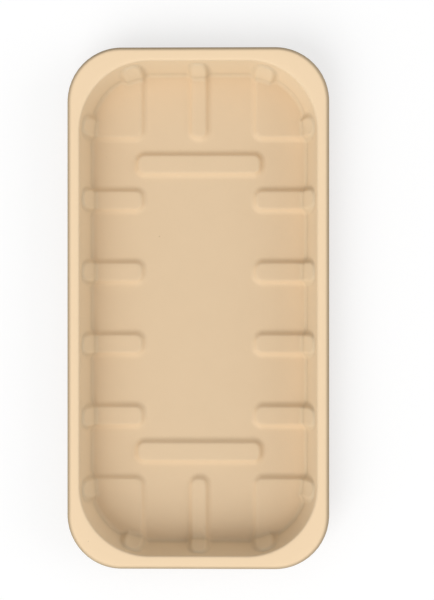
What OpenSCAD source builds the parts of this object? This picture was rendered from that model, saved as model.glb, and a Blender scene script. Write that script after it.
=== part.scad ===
// Moulded fibre meat tray: one pressed skin with a flat rim, drafted walls and raised ribs.
// Frame: X across the tray, Y along it, Z up, origin under the middle of the floor.

/* [Rim] */
// Width of the tray over its rim
rim_w = 135.5; // [125:0.5:160]
// Length of the tray over its rim
rim_length = 270; // [250:1:320]
// Outer corner radius of the rim
rim_r = 28; // [20:0.5:32]
// Width of the flat rim along each long side
side_rim = 6.3; // [5:0.1:9]
// Width of the flat rim along each short end
end_rim = 7; // [5:0.1:10]
// Height of the rim's turned-down edge
lip_h = 3; // [2:0.1:4]
// Rounding of the rim's outer edge
lip_round = 1.3; // [1:0.1:1.5]

/* [Tub] */
// Height of the whole tray
tray_h = 22; // [18:0.5:40]
// Thickness of the moulded skin
skin = 0.8; // [0.6:0.05:0.95]
// Corner radius of the opening
opening_r = 36.4; // [32:0.2:40]
// Lean of the walls from upright, in degrees
draft = 12; // [6:0.5:15]
// Inner radius between wall and floor
base_r = 2.3; // [1.8:0.1:4]
// Inner radius between a wall rib and the crest of its floor rib
crest_base_r = 1.5; // [1:0.1:1.7]
// Radius of the roll from wall to rim
roll_r = 1.2; // [0.8:0.1:2]

/* [Ribs] */
// Height of the ribs over the floor and walls
rib_h = 2.2; // [1.2:0.1:2.6]
// Width of a side rib at half its height
rib_w = 11; // [9:0.1:14]
// Width of a rib's sloping flank
rib_slope = 2.6; // [1.8:0.1:3.4]
// Corner radius of a rib's end at half its height
rib_end_r = 4.2; // [3.4:0.1:4.4]
// Distance from one side rib to the next
rib_pitch = 38; // [32:0.5:40]
// Number of ribs on each long wall between the corner pads
side_ribs = 4; // [2:1:4]
// Distance from the tray's middle line to the inner ends of the side ribs
rib_reach = 29.5; // [20:0.5:36]
// Distance from the top of the rim down to the top end of a wall rib
rib_drop = 5; // [3.5:0.1:8]
// Length of the cross ribs
cross_length = 66; // [40:1:80]
// Width of the rib in the middle of each end at half its height
end_rib_w = 9; // [9:0.1:14]
// Turn of the pads' end strips round the corner, in degrees
strip_turn = 17; // [12:0.5:22]

/* [Hidden] */
// Drawing steps in a full circle
$fn = 16;
// Colour of the dry pulp
pulp = [0.9, 0.79, 0.65];
// Spare length by which cutting shapes run past what they cut
spare = 1;
// Half sizes of the opening, at the level of the rim
opening_x = rim_w / 2 - side_rim;
opening_y = rim_length / 2 - end_rim;
// Centre of the corner arcs of the opening, and of the rim
tub_cx = opening_x - opening_r;
tub_cy = opening_y - opening_r;
rim_cx = rim_w / 2 - rim_r;
rim_cy = rim_length / 2 - rim_r;
// Height at which the body that holds the crests ends, between the ribs' tops and the rim
crest_top = tray_h - rib_drop / 2;
// Place of the cross ribs and of the pads' inner edges along the tray
cross_y = side_ribs / 2 * rib_pitch;
pad_y = (side_ribs + 1) / 2 * rib_pitch - rib_w / 2;

// Place along the tray of side rib i, where -1 and side_ribs are the corner pads' strips
function rib_y(i) = (i - (side_ribs - 1) / 2) * rib_pitch;

// Radius of the corner's wall at height z, on a surface d inside the tub's inner face
function wall_at(z, d) = opening_r - (tray_h - z) * tan(draft) - d / cos(draft);

// Distance of a rib's outline outside its half-height outline, at a level over the floor or wall
function flank(level, inset) = rib_slope / 2 - rib_slope / rib_h * level - inset;

// Sideways inset of the hollow under a rib, which keeps the skin's thickness on the flanks
function hollow_inset() = skin * sqrt(1 + pow(rib_slope / rib_h, 2));

// Half section of the tub up to height top, wall_d and floor_d inside its inner wall and floor,
// with a fillet of radius r between them
module tub_section(wall_d, floor_d, r, top, rolled) {
    floor_z = skin + floor_d;
    reach = r / tan((90 + draft) / 2);
    foot = wall_at(floor_z, wall_d);
    centre = [foot - reach, floor_z + r];
    roll = [wall_at(tray_h - roll_r, wall_d) + roll_r / cos(draft), tray_h - roll_r];
    roll_start = roll + roll_r * [-cos(draft), sin(draft)];
    rim_end = rolled ? [roll_start, roll, [roll[0], top]] : [[wall_at(top, wall_d), top]];
    difference() {
        union() {
            polygon(concat([[0, floor_z], [foot - reach, floor_z], centre,
                [foot + reach * sin(draft), floor_z + reach * cos(draft)]], rim_end, [[0, top]]));
            translate(centre) circle(r);
        }
        if (rolled) translate(roll) circle(roll_r);
    }
}

// Half section of the rim's cap, inset by one skin or by none
module rim_section(inset, foot) {
    r = lip_round - inset;
    edge = rim_r - inset;
    top = tray_h - inset;
    intersection() {
        union() {
            polygon([[0, foot], [edge, foot], [edge, top - r], [edge - r, top - r], [edge - r, top], [0, top]]);
            translate([edge - r, top - r]) circle(r);
        }
        translate([0, foot]) square([rim_r, tray_h - foot]);
    }
}

// Sweeps a half section round a rounded rectangle whose corner centres lie at (cx, cy)
module swept(cx, cy, low, high) {
    for (quarter = [[1, 1, 0], [-1, 1, 90], [-1, -1, 180], [1, -1, 270]])
        translate([quarter[0] * cx, quarter[1] * cy, 0])
            rotate([0, 0, quarter[2]]) rotate_extrude(angle = 90) children();
    for (turn = [0, 180]) {
        rotate([0, 0, turn]) translate([cx, 0, 0])
            rotate([90, 0, 0]) linear_extrude(2 * cy, center = true) children();
        rotate([0, 0, turn]) translate([0, cy, 0])
            rotate([90, 0, 90]) linear_extrude(2 * cx, center = true) children();
    }
    translate([-cx, -cy, low]) cube([2 * cx, 2 * cy, high - low]);
}

// One tongue of a rib on the plane Z = 0, with its free end at X = 0 and its rounded corners there
module tongue(length, half_w, inset, high) {
    low = -skin - spare;
    reach = [flank(low, inset), flank(high, inset)];
    core = half_w - rib_end_r;
    translate([rib_end_r, 0, 0]) rotate([90, 0, 90]) linear_extrude(length - rib_end_r)
        polygon([[-half_w - reach[0], low], [half_w + reach[0], low],
            [half_w + reach[1], high], [-half_w - reach[1], high]]);
    rotate([90, 0, 0]) linear_extrude(2 * core, center = true)
        polygon([[rib_end_r + spare, low], [-reach[0], low], [-reach[1], high], [rib_end_r + spare, high]]);
    for (side = [-1, 1])
        translate([rib_end_r, side * core, low])
            cylinder(h = high - low, r1 = rib_end_r + reach[0], r2 = rib_end_r + reach[1]);
}

// A tongue on the floor from X = start outwards
module floor_tongue(start, half_w, inset, high, length = rim_length / 2) {
    translate([start, 0, skin]) tongue(length, half_w, inset, high);
}

// A tongue on a wall whose top edge lies at X = top_x
module wall_tongue(top_x, half_w, inset, high) {
    translate([top_x - rib_drop * tan(draft), 0, tray_h - rib_drop])
        rotate([0, 90 + draft, 0]) mirror([0, 0, 1])
            tongue(tray_h + spare, half_w, inset, high);
}

// The floor parts of all ribs and pads, as wedges that reach high over the floor
module floor_wedges(inset, high) {
    for (turn = [0, 180]) rotate([0, 0, turn]) {
        for (i = [0 : side_ribs - 1])
            translate([0, rib_y(i), 0]) floor_tongue(rib_reach, rib_w / 2, inset, high);
        for (half = [0, 180])
            translate([0, cross_y, 0]) rotate([0, 0, half])
                floor_tongue(-cross_length / 2, rib_w / 2, inset, high, cross_length / 2);
        rotate([0, 0, 90]) floor_tongue(pad_y, end_rib_w / 2, inset, high);
        for (side = [0, 1]) mirror([side, 0, 0])
            translate([0, pad_y + rim_length / 2, 0]) floor_tongue(rib_reach, rim_length / 2, inset, high);
    }
}

// The wall parts of all ribs and pads, as wedges that reach high over the walls
module wall_wedges(inset, high) {
    for (turn = [0, 180]) rotate([0, 0, turn]) {
        for (i = [-1 : side_ribs])
            translate([0, rib_y(i), 0]) wall_tongue(opening_x, rib_w / 2, inset, high);
        rotate([0, 0, 90]) wall_tongue(opening_y, end_rib_w / 2, inset, high);
        for (side = [0, 1]) mirror([side, 0, 0])
            translate([tub_cx, tub_cy, 0]) rotate([0, 0, 90 - strip_turn])
                wall_tongue(opening_r, rib_w / 2, inset, high);
    }
}

// The space in the tub up to height top, d inside its inner face, without its ribs and pads:
// the open floor and walls, then the raised floor with open walls, then the crests
module ribbed_tub(d, inset, top, rolled) {
    high = d + rib_h + spare / 2;
    difference() {
        swept(tub_cx, tub_cy, skin + d, top) tub_section(d, d, base_r - d, top, rolled);
        floor_wedges(inset, high);
        wall_wedges(inset, high);
    }
    difference() {
        swept(tub_cx, tub_cy, skin + d + rib_h, top) tub_section(d, d + rib_h, base_r - d, top, rolled);
        wall_wedges(inset, high);
    }
    swept(tub_cx, tub_cy, skin + d + rib_h, crest_top)
        tub_section(d + rib_h, d + rib_h, crest_base_r - d, crest_top, false);
}

// The flat rim with its turned-down edge, closed over the tub
module rim_cap() {
    foot = tray_h - lip_h;
    difference() {
        swept(rim_cx, rim_cy, foot, tray_h) rim_section(0, foot);
        swept(rim_cx, rim_cy, foot - spare, tray_h - skin) rim_section(skin, foot - spare);
    }
}

module tray() {
    color(pulp) difference() {
        union() {
            rim_cap();
            ribbed_tub(-skin, hollow_inset(), tray_h - skin / 2, false);
        }
        ribbed_tub(0, 0, tray_h + spare, true);
    }
}

tray();
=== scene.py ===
"""A moulded fibre meat tray, dressed over its solid model.

The tray is one pressed skin of pulp, so it is one mesh. A block of grid lines covers the middle of
the floor, and a ring of rows round it holds the rest of the floor, the walls and the rim. The ribs
and corner pads are soft raised forms on that sheet, and the underside is the same sheet, one skin's
thickness away.
"""

import logging
import math
from dataclasses import dataclass, field
from enum import Enum

import bpy
import numpy as np
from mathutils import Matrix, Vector


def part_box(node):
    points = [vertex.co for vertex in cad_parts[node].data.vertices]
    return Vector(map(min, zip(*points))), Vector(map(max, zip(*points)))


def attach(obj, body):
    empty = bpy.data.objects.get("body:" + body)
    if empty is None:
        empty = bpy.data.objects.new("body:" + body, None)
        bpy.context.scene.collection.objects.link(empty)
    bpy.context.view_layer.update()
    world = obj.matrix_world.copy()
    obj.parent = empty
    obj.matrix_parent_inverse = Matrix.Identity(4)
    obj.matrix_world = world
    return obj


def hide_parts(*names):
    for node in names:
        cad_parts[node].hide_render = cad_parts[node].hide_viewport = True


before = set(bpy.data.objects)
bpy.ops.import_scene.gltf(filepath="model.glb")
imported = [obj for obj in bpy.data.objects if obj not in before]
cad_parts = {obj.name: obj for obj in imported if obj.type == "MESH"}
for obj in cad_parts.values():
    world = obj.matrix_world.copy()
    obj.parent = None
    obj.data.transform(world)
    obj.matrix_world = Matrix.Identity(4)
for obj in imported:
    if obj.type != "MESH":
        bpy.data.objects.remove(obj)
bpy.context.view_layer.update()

MM = 0.001
# Each corner of the ring turns through two of these.
HALF_CORNER = math.pi / 4
# The least sizes that anything is divided by.
SMALL = 1e-3
TINY = 1e-9
# The names of the mesh's two painted shades, which the pulp's material reads.
PAINTED_SHADE = "painted_shade"
PAINTED_WALL_SHADE = "painted_wall_shade"
log = logging.getLogger("meat_tray")


class Face(Enum):
    """The two faces of the pulp skin, in the order of the mesh's material slots."""

    PRESSED = 0
    SCREEN = 1


class Row(Enum):
    """The stretches of the tub's section, from the block of floor out to the flat rim."""

    FLOOR = "floor"
    FILLET = "fillet"
    WALL = "wall"
    ROLL = "roll"


def linear(hex_colour: str) -> tuple[float, float, float, float]:
    """Turns an sRGB hex colour into linear RGBA.

    Args:
        hex_colour: The colour as "#RRGGBB".

    Returns:
        The linear red, green and blue, and an alpha of 1.
    """
    parts = [int(hex_colour[i:i + 2], 16) / 255 for i in (1, 3, 5)]
    straight = [c / 12.92 if c <= 0.04045 else ((c + 0.055) / 1.055) ** 2.4 for c in parts]
    return (*straight, 1.0)


def add_node(tree: bpy.types.NodeTree, kind: str, inputs: dict | None = None,
             **settings) -> bpy.types.Node:
    """Adds one shader node, with its settings, input values and links.

    Args:
        tree: The node tree that gets the node.
        kind: The node's type, such as "ShaderNodeTexNoise".
        inputs: Input name or number to the output socket that it is linked from, or to its value.
        settings: Properties of the node itself.

    Returns:
        The new node.
    """
    node = tree.nodes.new(kind)
    for name, value in settings.items():
        setattr(node, name, value)
    for name, value in (inputs or {}).items():
        if isinstance(value, bpy.types.NodeSocket):
            tree.links.new(value, node.inputs[name])
        else:
            node.inputs[name].default_value = value
    return node


def pressed_step(t: np.ndarray, toe: float) -> np.ndarray:
    """The step from 0 to 1 of a pressed flank, as t goes from 0 to 1.

    Args:
        t: The place on the flank, from its foot to its crest.
        toe: The share of the flank that curves up from its foot. The rest rounds off to the crest.

    Returns:
        The height at t, whose slope runs on without a break.
    """
    t = np.clip(t, 0, 1)
    return np.where(t < toe, t * t / toe, 1 - (1 - t) ** 2 / (1 - toe))


def graded(end: float, zones: list[tuple[float, float, float]], coarse: float,
           growth: float = 0.3, samples: int = 4001) -> np.ndarray:
    """Places grid lines from 0 to end, close together inside the zones and wider away from them.

    Args:
        end: Where the last line lies.
        zones: The start and end of each stretch that needs close lines, and the spacing there.
        coarse: The widest spacing.
        growth: How fast the spacing widens with the distance from a zone.
        samples: The number of places at which the spacing is worked out.

    Returns:
        The places of the lines.
    """
    at = np.linspace(0, end, samples)
    gaps = [close + growth * np.maximum(np.maximum(low - at, at - high), 0)
            for low, high, close in zones]
    density = 1 / np.minimum(np.min(gaps, axis=0), coarse)
    count = np.concatenate([[0], np.cumsum((density[1:] + density[:-1]) / 2 * np.diff(at))])
    return np.interp(np.linspace(0, count[-1], math.ceil(count[-1]) + 1), count, at)


def mirrored(lines: np.ndarray) -> np.ndarray:
    """The lines from 0 outwards, with their mirror image before them."""
    return np.concatenate([-lines[:0:-1], lines])


@dataclass(frozen=True)
class PulpFinish:
    """Unbleached moulded pulp, thermoformed: felted plant fibres, hot-pressed between two tools.

    The pressing leaves a dull, even skin in which single fibres only just show. Light spreads over
    it softly, with no highlight, and faint clouds show where the slurry settled thicker. The flat
    rim is painted a little paler, as painted light. The walls are painted a little greyer and
    darker, and the creases, the feet of the wall ribs and the rim's turned-down edge darker still,
    as painted shade. The face that lay on the wire screen keeps a print of its mesh, so it looks a
    little coarser.
    """

    name: str
    rim_mm: float
    colour: str = "#E8CDA9"
    cloud_colour: str = "#E4C9A5"
    painted_rim_light_colour: str = "#F7DBB5"
    painted_wall_shade_colour: str = "#E2CCAB"
    painted_shade_colour: str = "#988668"
    fibre_colour: str = "#F8E2C2"
    husk_colour: str = "#B08E62"
    roughness: float = 0.88
    ior: float = 1.47
    # How far under the rim's face its painted light starts, and where it is full
    rim_light_fade_mm: tuple[float, float] = (0.6, 0.1)
    cloud_mm: float = 16.0
    fibre_mm: float = 1.1
    fibre_levels: tuple[float, float] = (0.9, 1.6)
    fibre_share: float = 0.3
    fibre_relief_mm: float = 0.03
    # Flecks lie in a quarter of the cells, and their sizes are shares of a cell's.
    husk_gap_mm: float = 7.0
    husk_share: float = 0.25
    husk_core: float = 0.05
    husk_edge: float = 0.02
    mesh_mm: float = 1.4
    mesh_relief_mm: float = 0.0

    def material(self) -> bpy.types.Material:
        """Builds the material of this finish.

        Returns:
            The material, its patterns scaled from real sizes.
        """
        made = bpy.data.materials.new(self.name)
        made.use_nodes = True
        tree = made.node_tree
        tree.nodes.clear()
        place = add_node(tree, "ShaderNodeTexCoord").outputs["Object"]
        fibres = self.fibres(tree, place)
        shader = add_node(tree, "ShaderNodeBsdfPrincipled", {
            "Base Color": self.tint(tree, place, fibres),
            "Roughness": self.roughness,
            "IOR": self.ior,
            "Normal": self.relief(tree, place, fibres),
        })
        add_node(tree, "ShaderNodeOutputMaterial", {"Surface": shader.outputs["BSDF"]})
        return made

    def fibres(self, tree: bpy.types.NodeTree, place: bpy.types.NodeSocket) -> bpy.types.NodeSocket:
        """Draws the felt of short fibres, as ridged noise at the length of a fibre's bends."""
        felt = add_node(tree, "ShaderNodeTexNoise", {
            "Vector": place, "Scale": 1 / (self.fibre_mm * MM), "Detail": 3.0, "Roughness": 0.6,
            "Distortion": 0.6,
        }, noise_type="RIDGED_MULTIFRACTAL")
        return felt.outputs[0]

    def husks(self, tree: bpy.types.NodeTree, place: bpy.types.NodeSocket) -> bpy.types.NodeSocket:
        """Scatters flecks of husk, as the cores of a share of the cells of a cell pattern."""
        cells = add_node(tree, "ShaderNodeTexVoronoi", {
            "Vector": place, "Scale": 1 / (self.husk_gap_mm * MM),
        })
        pick = add_node(tree, "ShaderNodeSeparateColor", {"Color": cells.outputs["Color"]})
        size = add_node(tree, "ShaderNodeMapRange", {
            "Value": pick.outputs["Red"], "From Min": 1 - self.husk_share, "To Max": self.husk_core,
        })
        core = add_node(tree, "ShaderNodeMath", {0: size.outputs[0], 1: cells.outputs["Distance"]},
                        operation="SUBTRACT")
        return add_node(tree, "ShaderNodeMapRange", {
            "Value": core.outputs[0], "From Max": self.husk_edge,
        }).outputs[0]

    def tint(self, tree: bpy.types.NodeTree, place: bpy.types.NodeSocket,
             fibres: bpy.types.NodeSocket) -> bpy.types.NodeSocket:
        """Colours the pulp: clouds, then the tones of rim, walls and creases, then fibres and husk.

        Args:
            tree: The material's node tree.
            place: The coordinates of the surface, in metres.
            fibres: The pattern of the felted fibres.

        Returns:
            The colour socket.
        """
        clouds = add_node(tree, "ShaderNodeTexNoise", {
            "Vector": place, "Scale": 1 / (self.cloud_mm * MM), "Detail": 4.0, "Roughness": 0.55,
        })
        thread = add_node(tree, "ShaderNodeMapRange", {
            "Value": fibres, "From Min": self.fibre_levels[0], "From Max": self.fibre_levels[1],
            "To Max": self.fibre_share,
        })
        height = add_node(tree, "ShaderNodeSeparateXYZ", {"Vector": place}).outputs["Z"]
        # The flat rim is painted paler from this height up, as painted light.
        low, high = ((self.rim_mm - fade) * MM for fade in self.rim_light_fade_mm)
        rim = add_node(tree, "ShaderNodeMapRange", {
            "Value": height, "From Min": low, "From Max": high,
        })
        wall, painted_shade = (add_node(tree, "ShaderNodeAttribute", attribute_name=name).outputs["Fac"]
                       for name in (PAINTED_WALL_SHADE, PAINTED_SHADE))
        layers = (
            (clouds.outputs[0], self.cloud_colour),
            # Painted light: the flat rim is paler.
            (rim.outputs[0], self.painted_rim_light_colour),
            # Painted shade: the walls are greyer and a little darker.
            (wall, self.painted_wall_shade_colour),
            # Painted shade in the creases, round the wall ribs' feet and on the rim's edge.
            (painted_shade, self.painted_shade_colour),
            (thread.outputs[0], self.fibre_colour),
            (self.husks(tree, place), self.husk_colour),
        )
        tint = linear(self.colour)
        # Inputs 6 and 7 and output 2 are the mix node's colours.
        for share, colour in layers:
            mixed = add_node(tree, "ShaderNodeMix", {0: share, 6: tint, 7: linear(colour)},
                             data_type="RGBA")
            tint = mixed.outputs[2]
        return tint

    def relief(self, tree: bpy.types.NodeTree, place: bpy.types.NodeSocket,
               fibres: bpy.types.NodeSocket) -> bpy.types.NodeSocket:
        """Raises the fibres a little, over the print of the screen's mesh.

        A real screen has a mesh of about 0.7 mm, drawn here at twice that so that it shows. The sum
        of three waves prints it on floor and walls alike.

        Args:
            tree: The material's node tree.
            place: The coordinates of the surface, in metres.
            fibres: The pattern of the felted fibres.

        Returns:
            The normal socket.
        """
        phase = add_node(tree, "ShaderNodeVectorMath", {
            "Vector": place, "Scale": 2 * math.pi / (self.mesh_mm * MM),
        }, operation="SCALE")
        waves = add_node(tree, "ShaderNodeVectorMath", {0: phase.outputs[0]}, operation="SINE")
        mesh = add_node(tree, "ShaderNodeVectorMath", {0: waves.outputs[0], 1: (0.5, 0.5, 0.5)},
                        operation="DOT_PRODUCT")
        reliefs = ((mesh.outputs["Value"], self.mesh_relief_mm), (fibres, self.fibre_relief_mm))
        normal = None
        for height, relief_mm in reliefs:
            below = {"Normal": normal} if normal else {}
            bump = add_node(tree, "ShaderNodeBump", {
                "Height": height, "Distance": relief_mm * MM, **below,
            })
            normal = bump.outputs[0]
        return normal


@dataclass
class FibreTray:
    """The tray's pressed skin, worked out in millimetres over the solid model's node.

    The width, length and height come from the node's own box, and the other sizes repeat the
    solid's. Its ribs and pads have the solid's outlines at half their height, with soft flanks.
    Each of its points carries two painted shades for the material: that of the creases, of the
    wall ribs' feet and of the rim's edge, and that of the walls.
    """

    node: str = "tray"
    slot: str = "pulp"
    # The flat rim and its turned-down edge
    rim_r: float = 28.0
    side_rim: float = 6.3
    end_rim: float = 7.0
    lip_h: float = 3.0
    lip_w: float = 2.4
    lip_lean: float = math.radians(66)
    foot_round: float = 0.25
    # The skin, the walls' lean, and the bends below and above the walls
    skin: float = 0.8
    opening_r: float = 36.4
    draft: float = math.radians(12)
    base_r: float = 2.3
    roll_r: float = 1.2
    # The ribs on the floor and up the walls, and the corner pads with their strips
    rib_h: float = 2.2
    rib_w: float = 11.0
    rib_end_r: float = 4.2
    rib_pitch: float = 38.0
    side_ribs: int = 4
    rib_reach: float = 29.5
    rib_drop: float = 5.0
    cross_length: float = 66.0
    end_rib_w: float = 9.0
    strip_turn: float = math.radians(17)
    # A wall rib's height at its tip and foot, the oval of its outline, and the flanks of all ribs
    tip_share: float = 0.4
    foot_share: float = 1.2
    arch_h: float = 14.0
    arch_power: float = 3.0
    flank_w: float = 3.6
    toe: float = 0.8
    # Half sizes of the block of grid lines in the middle of the floor
    block_x: float = 44.0
    block_y: float = 110.0
    # The strength of each painted shade, and how far it reaches
    crease_shade: float = 0.2
    crease_w: float = 1.6
    rib_shade: float = 0.2
    rib_shade_w: float = 1.2
    rib_shade_out: float = 0.45
    lip_shade: float = 0.75
    # The spacing of the mesh's lines, and the steps in its bends
    ledge_fine: float = 0.42
    fine: float = 0.7
    bend: float = 1.6
    wall_coarse: float = 1.75
    coarse: float = 3.5
    fillet_rows: int = 6
    roll_rows: int = 4
    rim_steps: int = 4
    foot_steps: int = 3
    # What follows from the sizes above and from the node's box
    width: float = field(init=False)
    length: float = field(init=False)
    height: float = field(init=False)
    tub: np.ndarray = field(init=False)
    rib_ys: list[float] = field(init=False)
    pad_y: float = field(init=False)
    cross_y: float = field(init=False)

    def __post_init__(self) -> None:
        """Takes the outer size from the node, and works out the places that follow from the sizes."""
        low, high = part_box(self.node)
        self.width, self.length, self.height = ((high[i] - low[i]) / MM for i in range(3))
        opening = np.array([self.width / 2 - self.side_rim, self.length / 2 - self.end_rim])
        self.tub = opening - self.opening_r
        first = (self.side_ribs + 1) % 2 / 2
        self.rib_ys = [(first + i) * self.rib_pitch for i in range(self.side_ribs // 2 + 1)]
        self.pad_y = self.rib_ys[-1] - self.rib_w / 2
        self.cross_y = self.side_ribs / 2 * self.rib_pitch

    def wall_at(self, z: float, inset: float) -> float:
        """The corner radius of the wall at height z, on a surface inset from the open wall."""
        return self.opening_r - (self.height - z) * math.tan(self.draft) - inset / math.cos(self.draft)

    def tongue(self, lateral: np.ndarray, forward: np.ndarray, half_w: float) -> np.ndarray:
        """How far a point lies inside the half-height outline of a rib with one rounded end.

        Args:
            lateral: Distance from the rib's middle line.
            forward: Distance past the rib's end, along the rib.
            half_w: Half of the rib's width.

        Returns:
            The distance, negative outside the outline.
        """
        across = np.abs(lateral) - (half_w - self.rib_end_r)
        along = self.rib_end_r - forward
        outside = np.hypot(np.maximum(across, 0), np.maximum(along, 0))
        return self.rib_end_r - outside - np.minimum(np.maximum(across, along), 0)

    def arch(self, lateral: np.ndarray, below: np.ndarray, half_w: float) -> np.ndarray:
        """How far a point of a wall lies inside the half-height outline of a rib on it.

        The outline is the upper half of a tall oval, squarer than an ellipse, so that the rib's end
        is a D when seen from above. Under the oval's middle its sides run on straight.

        Args:
            lateral: Distance from the rib's middle line.
            below: Distance down the wall from the rib's tip.
            half_w: Half of the rib's width at its foot.

        Returns:
            The distance, negative outside the outline.
        """
        n = self.arch_power
        across = np.abs(lateral) / half_w
        over = np.maximum(1 - below / self.arch_h, 0)
        level = np.maximum((across ** n + over ** n) ** (1 / n), SMALL)
        slope = np.hypot(across ** (n - 1) / half_w, over ** (n - 1) / self.arch_h)
        return np.minimum((1 - level) / np.maximum(slope * level ** (1 - n), SMALL), half_w)

    def lift(self, outlines: list[np.ndarray], crest: float = 1.0) -> np.ndarray:
        """The share of a rib's height at a point, from how far it lies inside each outline.

        Args:
            outlines: The distances inside the outlines of all ribs that may reach the point.
            crest: The share of the rib's height that its crest has there.

        Returns:
            The share, which is half of the crest's on an outline.
        """
        half_way = math.sqrt(self.toe / 2)
        inside = np.max(outlines, axis=0)
        return crest * pressed_step(inside / (self.flank_w * crest) + half_way, self.toe)

    def floor_lift(self, plan: np.ndarray) -> np.ndarray:
        """The share of the rib height by which the floor is raised.

        Args:
            plan: The points in plan, as rows of x and y.

        Returns:
            The share, from 0 on the open floor to 1 on a crest or pad.
        """
        x, y = np.abs(plan).T
        forms = [self.tongue(y - rib, x - self.rib_reach, self.rib_w / 2)
                 for rib in self.rib_ys[:-1]]
        forms.append(self.tongue(y - self.cross_y, self.cross_length / 2 - x, self.rib_w / 2))
        forms.append(self.tongue(x, y - self.pad_y, self.end_rib_w / 2))
        forms.append(self.tongue(y - self.pad_y - self.length, x - self.rib_reach, self.length))
        return self.lift(forms)

    def wall_lift(self, plan: np.ndarray, z: float) -> np.ndarray:
        """The share of the rib height by which the wall is raised.

        The ribs lean more than the wall does, so they stand out less at their tips than at the floor.

        Args:
            plan: The points of the open wall in plan, as rows of x and y.
            z: Their height.

        Returns:
            The share, 0 on the open wall.
        """
        tip = self.height - self.rib_drop
        sunk = np.clip((tip - z) / (tip - self.skin - self.rib_h), 0, 1)
        crest = self.tip_share + sunk * (self.foot_share - self.tip_share)
        return self.lift(self.wall_forms(plan, z), crest)

    def rib_foot(self, plan: np.ndarray, z: float) -> np.ndarray:
        """How close a point lies to the lower half of a wall rib's flank, from 0 to 1."""
        # This places the painted shade round the foot of each wall rib.
        inside = np.max(self.wall_forms(plan, z), axis=0) + self.rib_shade_out
        return np.exp(-(inside / self.rib_shade_w) ** 2)

    def wall_forms(self, plan: np.ndarray, z: float) -> list[np.ndarray]:
        """How far a point of the wall lies inside the half-height outline of each rib on it.

        Args:
            plan: The points of the open wall in plan, as rows of x and y.
            z: Their height.

        Returns:
            The distances for each kind of rib, negative outside it.
        """
        x, y = np.abs(plan).T
        below = np.full(len(x), (self.height - self.rib_drop - z) / math.cos(self.draft))
        way = np.array([math.sin(self.strip_turn), math.cos(self.strip_turn)])
        from_corner = np.abs(plan) - self.tub
        aside = from_corner @ np.array([way[1], -way[0]])
        strips = [(x > self.tub[0], y - rib, self.rib_w) for rib in self.rib_ys]
        strips += [(y > self.tub[1], x, self.end_rib_w), (from_corner @ way > 0, aside, self.rib_w)]
        return [np.where(there, self.arch(lateral, below, w / 2), -self.length)
                for there, lateral, w in strips]

    def section(self, row: Row, s: float, wall_inset: float, floor_rise: float) -> np.ndarray:
        """A point of the tub's half section, from the fillet's start to the top of the roll.

        Args:
            row: The stretch that the point is on. On the floor it is the fillet's start.
            s: The place on the stretch, from 0 to 1.
            wall_inset: How far the wall stands inside the open wall.
            floor_rise: How far the floor stands over the open floor.

        Returns:
            The radius from the corner's centre, and the height.
        """
        floor_z = self.skin + floor_rise
        r = self.base_r
        upright = math.pi / 2 - self.draft
        start = self.wall_at(floor_z, wall_inset) - r * math.tan(upright / 2)
        if row in (Row.FLOOR, Row.FILLET):
            turn = upright * s if row is Row.FILLET else 0.0
            return np.array([start + r * math.sin(turn), floor_z + r * (1 - math.cos(turn))])
        roll_z = self.height - self.roll_r
        if row is Row.WALL:
            low = floor_z + r * (1 - math.cos(upright))
            z = low + s * (roll_z + self.roll_r * math.cos(upright) - low)
            return np.array([self.wall_at(z, wall_inset), z])
        turn = upright * (1 - s)
        centre = self.wall_at(roll_z, wall_inset) + self.roll_r / math.cos(self.draft)
        return np.array([centre - self.roll_r * math.sin(turn), roll_z + self.roll_r * math.cos(turn)])

    def block_lines(self) -> tuple[np.ndarray, np.ndarray]:
        """The block's grid lines, close together where they run along the flanks of ribs and pads.

        The ring's lines fan out from the block's corners, so those that reach the edges of a strip
        on a curved wall are close together too.

        Returns:
            The lines' places across the tray, and those along it.
        """
        wall_r = self.wall_at(self.height / 2, 0)
        half_strip = math.asin(self.rib_w / 2 / wall_r)
        per_turn = (np.array([self.block_x, self.block_y]) - self.tub) / HALF_CORNER
        sides = (-1, 1)
        across = [self.end_rib_w / 2, self.rib_reach, self.rib_reach + self.rib_end_r,
                  self.cross_length / 2]
        across += [self.tub[0] + (self.strip_turn + side * half_strip) * per_turn[0] for side in sides]
        middles = (*self.rib_ys[:-1], self.cross_y)
        along = [y + side * self.rib_w / 2 for y in middles for side in sides]
        side_strip = math.asin((self.pad_y + self.rib_w - self.tub[1]) / wall_r)
        along += [self.pad_y, self.tub[1] + side_strip * per_turn[1]]
        half = self.flank_w / 2
        lines = []
        for end, bend, flanks in ((self.block_x, self.tub[0], across),
                                  (self.block_y, self.tub[1], along)):
            zones = [(at - half, at + half, self.fine) for at in flanks] + [(bend, end, self.bend)]
            lines.append(mirrored(graded(end, zones, self.coarse)))
        return tuple(lines)

    def fan(self, edge: np.ndarray) -> tuple[np.ndarray, np.ndarray]:
        """Sends a line outwards from each point on the block's edge.

        Args:
            edge: The points on the block's edge, in plan.

        Returns:
            The point that each line's radius is measured from, and the line's direction.
        """
        size, sign = np.abs(edge), np.sign(edge)
        block = np.array([self.block_x, self.block_y])
        over = np.clip((size - self.tub) / (block - self.tub), 0, 1)
        on_side = np.isclose(size[:, 0], self.block_x)
        turn = HALF_CORNER * np.where(on_side, over[:, 1], 2 - over[:, 0])
        return sign * np.minimum(size, self.tub), sign * np.stack([np.cos(turn), np.sin(turn)], axis=1)

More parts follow.
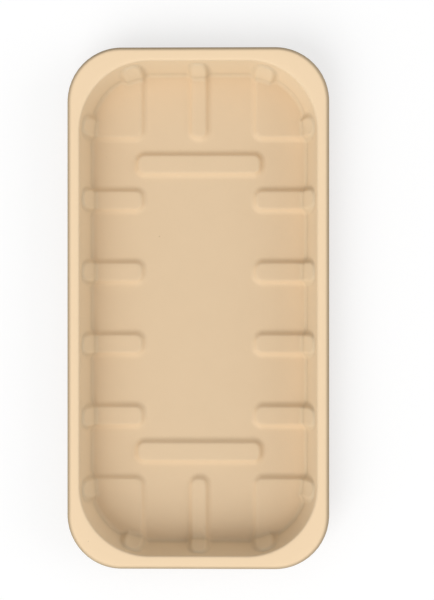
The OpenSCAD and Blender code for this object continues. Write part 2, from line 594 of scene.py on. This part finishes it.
    def tub_rows(self, edge: np.ndarray, origin: np.ndarray, way: np.ndarray) -> list[np.ndarray]:
        """Lays the ring's rows from the block's edge to the top of the wall's roll.

        Args:
            edge: The points on the block's edge, in plan.
            origin: The points that the lines' radii are measured from.
            way: The lines' directions.

        Returns:
            The rows of points, from the inside out, each with its two painted shades.
        """
        low, high = (self.section(Row.WALL, s, 0, 0)[1] for s in (0, 1))
        fillet_w = self.base_r * (math.pi / 2 - self.draft)
        rib_top = self.height - self.rib_drop - low
        ledge = (rib_top - self.rib_w / 2, rib_top + self.flank_w / 2, self.ledge_fine)
        even = np.linspace(0, 1, self.fillet_rows + 1)
        places = {
            Row.FLOOR: even,
            Row.FILLET: even,
            Row.WALL: graded(high - low, [ledge], self.wall_coarse) / (high - low),
            Row.ROLL: np.linspace(0, 1, self.roll_rows + 1),
        }
        rows = []
        for stretch, s in ((stretch, s) for stretch, line in places.items() for s in line[1:]):
            radius, z = self.section(stretch, s, 0, 0)
            plain = origin + way * radius
            floor, wall = self.floor_lift(plain)[:, None], self.wall_lift(plain, z)[:, None]
            raised = self.section(stretch, s, 0, self.rib_h)
            crest = self.section(stretch, s, self.rib_h, self.rib_h)
            lifted = [radius, z] + floor * (raised - [radius, z]) + wall * (crest - raised)
            plan, height = origin + way * lifted[:, :1], lifted[:, 1]
            away = np.full(len(plan), max(z - low, (0.5 - s) * fillet_w, 0))
            if stretch is Row.FLOOR:
                away = fillet_w / 2 + (1 - s) * np.linalg.norm(plan - edge, axis=1)
                plan = edge + s * (plan - edge)
                height = self.skin + self.rib_h * self.floor_lift(plan)
            # Painted shade darkens the crease at the wall's foot, fading up the wall and out over the
            # floor.
            painted_shade = self.crease_shade * np.exp(-away / self.crease_w)
            if stretch is Row.WALL:
                # Painted shade round the feet of the wall ribs.
                painted_shade = np.maximum(painted_shade, self.rib_shade * self.rib_foot(plain, z))
            # The walls are painted greyer and a little darker, as painted shade.
            tone = {Row.FLOOR: 0.0, Row.FILLET: s, Row.WALL: 1.0, Row.ROLL: 1 - s}[stretch]
            rows.append(np.column_stack([plan, height, painted_shade, np.full(len(plan), tone)]))
        return rows

    def rim_edge(self, origin: np.ndarray, way: np.ndarray) -> tuple[np.ndarray, np.ndarray]:
        """Where the lines meet the outline at which the flat rim starts to turn down.

        Args:
            origin: The points that the lines come from.
            way: The lines' directions.

        Returns:
            The points on the outline, and its outward directions there.
        """
        start, ahead = np.abs(origin), np.maximum(np.abs(way), TINY)
        outer = np.array([self.width, self.length]) / 2
        corner = outer - self.rim_r
        radius = self.rim_r - self.lip_w
        steps = (outer - self.lip_w - start) / ahead
        on_side, on_end = start + ahead * steps[:, :1], start + ahead * steps[:, 1:]
        offset = start - corner
        along = np.sum(offset * ahead, axis=1)
        inside = np.maximum(along ** 2 - np.sum(offset ** 2, axis=1) + radius ** 2, 0)
        on_bend = start + ahead * (np.sqrt(inside) - along)[:, None]
        by_side = (on_side[:, 1] <= corner[1])[:, None]
        by_end = (on_end[:, 0] <= corner[0])[:, None]
        point = np.where(by_side, on_side, np.where(by_end, on_end, on_bend))
        out = np.where(by_side, [1, 0], np.where(by_end, [0, 1], (on_bend - corner) / radius))
        sign = np.where(origin < 0, -1, 1)
        return sign * point, sign * out

    def rim_rows(self, roll: np.ndarray, origin: np.ndarray, way: np.ndarray) -> list[np.ndarray]:
        """Lays the ring's rows over the flat rim and down its turned edge.

        Args:
            roll: The row of points at the top of the wall's roll.
            origin: The points that the lines' radii are measured from.
            way: The lines' directions.

        Returns:
            The rows of points, from the inside out, each with its two painted shades.
        """
        rim, out = self.rim_edge(origin, way)
        rows = []
        for s in np.linspace(0, 1, self.rim_steps + 1)[1:]:
            plan = roll[:, :2] + s * (rim - roll[:, :2])
            rows.append(np.insert(plan, 2, [[self.height], [0], [0]], axis=1))
        drop = self.lip_h - self.foot_round
        bend_r = (self.lip_w - drop / math.tan(self.lip_lean)) / math.tan(self.lip_lean / 2)
        turns = np.linspace(0, self.lip_lean, self.rim_steps + 1)[1:]
        bend = [(bend_r * math.sin(t), bend_r * (1 - math.cos(t))) for t in turns]
        for outward, down in [*bend, (self.lip_w, drop)]:
            # Painted shade darkens the rim's turned-down edge, more towards its foot.
            painted_shade = self.lip_shade * outward / self.lip_w
            rows.append(np.insert(rim + out * outward, 2, [[self.height - down], [painted_shade], [0]], axis=1))
        return rows

    def foot_rows(self, outer: np.ndarray, inner: np.ndarray) -> list[np.ndarray]:
        """Rounds the rim's foot, from the last row of its outer face to that of its inner face.

        Args:
            outer: The row at the bottom of the outer face.
            inner: The row at the bottom of the inner face.

        Returns:
            The rows between them.
        """
        share = self.foot_round / self.skin
        turns = np.linspace(0, math.pi / 2, self.foot_steps + 1)
        places = [(share * (1 - math.cos(turn)), math.sin(turn)) for turn in turns[1:]]
        places += [(1 - share * (1 - math.sin(turn)), math.cos(turn)) for turn in turns[:-1]]
        return [outer + inward * (inner - outer) - [0, 0, self.foot_round * down]
                for inward, down in places]

    def sheet(self) -> tuple[np.ndarray, np.ndarray, int]:
        """Lays the pressed face of the skin.

        Returns:
            Its points, its faces as rows of four points, and the number of points on the ring.
        """
        across, along = self.block_lines()
        grid_x, grid_y = np.meshgrid(across, along)
        plan = np.column_stack([grid_x.ravel(), grid_y.ravel()])
        height = self.skin + self.rib_h * self.floor_lift(plan)
        block = np.column_stack([plan, height, np.zeros((len(plan), 2))])
        number = np.arange(len(plan)).reshape(grid_x.shape)
        faces = [number[:-1, :-1], number[:-1, 1:], number[1:, 1:], number[1:, :-1]]
        edge = np.concatenate([number[:-1, -1], number[-1, :0:-1], number[:0:-1, 0], number[0, :-1]])
        origin, way = self.fan(plan[edge])
        tub = self.tub_rows(plan[edge], origin, way)
        ring = tub + self.rim_rows(tub[-1], origin, way)
        loops = np.vstack([edge, len(plan) + np.arange(len(ring) * len(edge)).reshape(len(ring), -1)])
        return (np.vstack([block, *ring]), np.vstack([self.quads(faces), self.band(loops)]), len(edge))

    @staticmethod
    def quads(corners: list[np.ndarray]) -> np.ndarray:
        """Stacks four arrays of corner numbers into rows of one face each."""
        return np.stack([c.ravel() for c in corners], axis=1)

    def band(self, loops: np.ndarray) -> np.ndarray:
        """The faces between closed loops of points, given as rows of their numbers."""
        ahead = np.roll(loops, -1, axis=1)
        return self.quads([loops[:-1], loops[1:], ahead[1:], ahead[:-1]])

    @staticmethod
    def normals(points: np.ndarray, faces: np.ndarray) -> np.ndarray:
        """The outward direction at each point, as the mean of its faces' by area."""
        a, b, c, d = (points[faces[:, i]] for i in range(4))
        across = np.cross(c - a, d - b)
        total = np.zeros_like(points)
        for i in range(4):
            np.add.at(total, faces[:, i], across)
        return total / np.linalg.norm(total, axis=1, keepdims=True)

    def build(self, finishes: dict[Face, bpy.types.Material]) -> None:
        """Makes the tray's mesh, with its underside one skin's thickness below its pressed face.

        The mesh stands for the solid node and rides on the root body.

        Args:
            finishes: The material of each face of the skin.
        """
        sheet, faces, around = self.sheet()
        top = sheet[:, :3]
        under = top - self.skin * self.normals(top, faces)
        foot = self.foot_rows(top[-around:], under[-around:])
        points = np.vstack([top, *foot, under])
        first = len(top) + len(foot) * around
        loops = np.arange(len(top) - around, first).reshape(-1, around)
        loops = np.vstack([loops, np.arange(len(points) - around, len(points))])
        pressed = np.vstack([faces, self.band(loops)])
        every = np.vstack([pressed, faces[:, ::-1] + first])
        mesh = bpy.data.meshes.new("moulded_fibre_tray")
        mesh.from_pydata((points * MM).tolist(), [], every.tolist())
        mesh.polygons.foreach_set("use_smooth", np.ones(len(every), bool))
        side = np.where(np.arange(len(every)) < len(pressed), Face.PRESSED.value, Face.SCREEN.value)
        for face in Face:
            mesh.materials.append(finishes[face])
        mesh.polygons.foreach_set("material_index", side.astype(np.int32))
        for name, tone in ((PAINTED_SHADE, sheet[:, 3]), (PAINTED_WALL_SHADE, sheet[:, 4])):
            every_tone = np.zeros(len(points), np.float32)
            every_tone[:len(top)] = tone
            mesh.attributes.new(name, "FLOAT", "POINT").data.foreach_set("value", every_tone)
        mesh.update()
        piece = bpy.data.objects.new("moulded_fibre_tray", mesh)
        bpy.context.scene.collection.objects.link(piece)
        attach(piece, "root")
        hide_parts(self.node)
        log.info("%s: %d points, %d triangles", piece.name, len(points), 2 * len(every))


@dataclass(frozen=True)
class Lamp:
    """A soft square lamp, aimed at the middle of the tray.

    The azimuth is measured from +X towards +Y and the elevation from the floor, in degrees. The
    light is the share of a plain level that it gives a level surface at the tray.
    """

    name: str
    azimuth: float
    elevation: float
    light: float
    size: float = 9.0
    distance: float = 12.0

    def build(self) -> None:
        """Hangs the lamp in the scene."""
        turn, rise = math.radians(self.azimuth), math.radians(self.elevation)
        way = Vector((math.cos(turn) * math.cos(rise), math.sin(turn) * math.cos(rise), math.sin(rise)))
        lamp = bpy.data.lights.new(self.name, "AREA")
        lamp.shape = "SQUARE"
        lamp.size = self.size
        # A square of area A and power P sends P/(A pi) per steradian, so at distance d it gives a
        # level surface P sin(rise)/(pi d^2), and pi of that is the plain level.
        lamp.energy = self.light * math.pi ** 2 * self.distance ** 2 / math.sin(rise)
        holder = bpy.data.objects.new(self.name, lamp)
        holder.location = way * self.distance
        holder.rotation_euler = way.to_track_quat("Z", "Y").to_euler()
        bpy.context.scene.collection.objects.link(holder)
        log.info("%s: lamp at azimuth %.0f, elevation %.0f", self.name, self.azimuth, self.elevation)


@dataclass
class Studio:
    """A white table under a pale sky, with soft lamps."""

    sky: float = 0.48
    table_colour: float = 0.42
    table_glow: float = 0.61
    half_table: float = 3.0
    table_gap: float = 0.02 * MM
    lamps: tuple[Lamp, ...] = (
        Lamp("front_left_softbox", azimuth=-120, elevation=45, light=0.375),
        Lamp("right_softbox", azimuth=0, elevation=25, light=0.115),
        Lamp("left_softbox", azimuth=-150, elevation=25, light=0.068),
    )

    def build(self) -> None:
        """Makes the sky, the table and the lamps."""
        self.build_sky()
        self.build_table()
        for lamp in self.lamps:
            lamp.build()

    @staticmethod
    def looking(tree: bpy.types.NodeTree) -> bpy.types.NodeSocket:
        """1 for rays that look at the background, straight or by a mirror or glass, and 0 for light."""
        path = add_node(tree, "ShaderNodeLightPath")
        looks = path.outputs["Is Camera Ray"]
        for ray in ("Is Glossy Ray", "Is Transmission Ray"):
            either = add_node(tree, "ShaderNodeMath", {0: looks, 1: path.outputs[ray]},
                              operation="MAXIMUM")
            looks = either.outputs[0]
        return looks

    def build_sky(self) -> None:
        """Lights the scene evenly from all round, and shows white where nothing stands before it."""
        world = bpy.data.worlds.new("pale_studio")
        world.use_nodes = True
        tree = world.node_tree
        tree.nodes.clear()
        looks = self.looking(tree)
        strength = add_node(tree, "ShaderNodeMapRange", {"Value": looks, "To Min": self.sky})
        light = add_node(tree, "ShaderNodeBackground", {
            "Color": (1, 1, 1, 1), "Strength": strength.outputs[0],
        })
        add_node(tree, "ShaderNodeOutputWorld", {"Surface": light.outputs[0]})
        bpy.context.scene.world = world

    def build_table(self) -> None:
        """Lays the white table, which keeps the tray's shadow."""
        mesh = bpy.data.meshes.new("white_table")
        corners = [(x * self.half_table, y * self.half_table, -self.table_gap)
                   for x, y in ((-1, -1), (1, -1), (1, 1), (-1, 1))]
        mesh.from_pydata(corners, [], [(0, 1, 2, 3)])
        table = bpy.data.objects.new("white_table", mesh)
        bpy.context.scene.collection.objects.link(table)
        made = bpy.data.materials.new("white_laminate")
        made.use_nodes = True
        tree = made.node_tree
        tree.nodes.clear()
        matt = add_node(tree, "ShaderNodeBsdfDiffuse", {"Color": (*[self.table_colour] * 3, 1)})
        looks = self.looking(tree)
        strength = add_node(tree, "ShaderNodeMapRange", {"Value": looks, "To Max": self.table_glow})
        glow = add_node(tree, "ShaderNodeEmission", {
            "Color": (1, 1, 1, 1), "Strength": strength.outputs[0],
        })
        both = add_node(tree, "ShaderNodeAddShader", {0: matt.outputs[0], 1: glow.outputs[0]})
        add_node(tree, "ShaderNodeOutputMaterial", {"Surface": both.outputs[0]})
        mesh.materials.append(made)


@dataclass
class Overhead:
    """The camera, which looks down at the tray from a little to the right of its middle.

    It is aimed at a point on the level of the rim, which is the middle of the picture. The frame is
    the length that the picture's longer side takes in there.
    """

    right: float = 22.0
    up: float = 4.2
    aim_right: float = 9.8
    aim_up: float = 4.2
    above_rim: float = 755.0
    frame_mm: float = 309.4
    sensor_mm: float = 36.0

    def build(self, rim: float) -> None:
        """Hangs the camera over the tray.

        Args:
            rim: The height of the tray's rim, in millimetres.
        """
        lens = bpy.data.cameras.new("overhead")
        lens.sensor_width = self.sensor_mm
        lens.lens = self.sensor_mm * self.above_rim / self.frame_mm
        camera = bpy.data.objects.new("overhead", lens)
        camera.location = Vector((self.right, self.up, rim + self.above_rim)) * MM
        away = (camera.location - Vector((self.aim_right, self.aim_up, rim)) * MM).normalized()
        # With no turn about Z, the picture's rows run along X.
        camera.rotation_euler = (-math.asin(away.y), math.atan2(away.x, away.z), 0)
        bpy.context.scene.collection.objects.link(camera)
        bpy.context.scene.camera = camera


def main() -> None:
    """Builds the tray, its studio and its camera."""
    logging.basicConfig(level=logging.INFO, format="%(message)s")
    tray = FibreTray()
    pressed = PulpFinish("moulded_pulp_pressed_face", tray.height)
    screened = PulpFinish("moulded_pulp_screen_face", tray.height, mesh_relief_mm=0.05)
    tray.build({Face.PRESSED: pressed.material(), Face.SCREEN: screened.material()})
    Studio().build()
    Overhead().build(tray.height)
    bpy.context.scene.view_settings.view_transform = "Standard"


if __name__ == "__main__":
    main()
